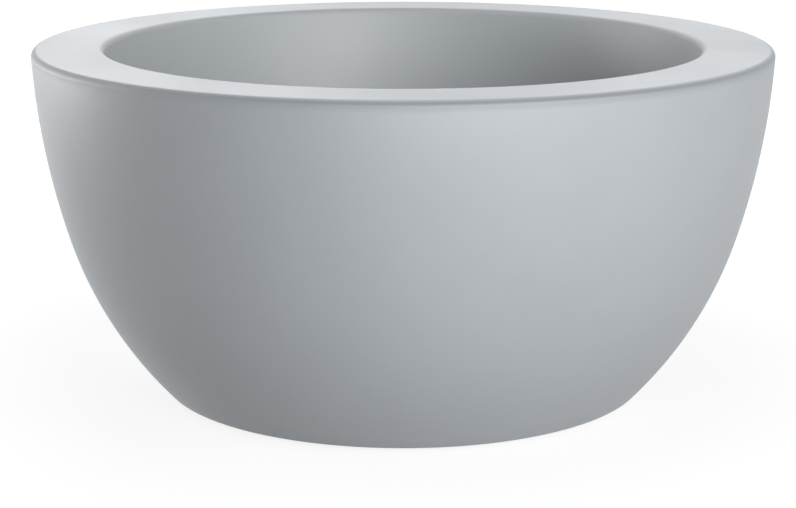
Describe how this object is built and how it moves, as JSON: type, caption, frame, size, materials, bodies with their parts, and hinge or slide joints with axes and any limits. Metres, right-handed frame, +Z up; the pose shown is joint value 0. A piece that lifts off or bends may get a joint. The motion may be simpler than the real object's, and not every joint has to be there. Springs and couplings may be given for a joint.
{
  "type": "bowl planter",
  "caption": "Round concrete bowl planter with a thick wall, a wide flat rim, sides that curve in to a flat base, and a floor drain with a removable plug.",
  "frame": {"origin": "on the ground, on the bowl's axis, midway between the feet", "axes": "+Z up along the bowl's axis; X and Y level, X along the lower floor bars"},
  "size_m": [0.914, 0.914, 0.432],
  "materials": {
    "concrete": "satin",
    "bar_steel": "matte",
    "socket_steel": "satin",
    "grey_plastic": "matte",
    "black_rubber": "matte"
  },
  "bodies": {
    "planter": {"bowl": "concrete", "rim_hoop": "bar_steel", "upper_wall_hoop": "bar_steel", "lower_wall_hoop": "bar_steel", "base_hoop": "bar_steel", "drain_hoop": "bar_steel", "wall_bar_1": "bar_steel", "wall_bar_2": "bar_steel", "wall_bar_3": "bar_steel", "wall_bar_4": "bar_steel", "wall_bar_5": "bar_steel", "wall_bar_6": "bar_steel", "wall_bar_7": "bar_steel", "wall_bar_8": "bar_steel", "floor_bar_1": "bar_steel", "floor_bar_2": "bar_steel", "floor_bar_3": "bar_steel", "floor_bar_4": "bar_steel", "bar_chairs": "grey_plastic", "drain_sleeve": "grey_plastic", "lifting_insert_1": "socket_steel", "lifting_insert_2": "socket_steel", "lifting_insert_3": "socket_steel", "lifting_insert_4": "socket_steel", "anchor_pin_1": "bar_steel", "anchor_pin_2": "bar_steel", "anchor_pin_3": "bar_steel", "anchor_pin_4": "bar_steel", "foot_pad_1": "black_rubber", "foot_pad_2": "black_rubber", "foot_pad_3": "black_rubber", "foot_pad_4": "black_rubber"},
    "plug": {"drain_plug": "black_rubber"}
  },
  "joints": [
    {"name": "plug_lift", "type": "slide", "parent": "planter", "child": "plug", "axis": [0, 0, 1], "range_m": [0, 0.06]}
  ]
}
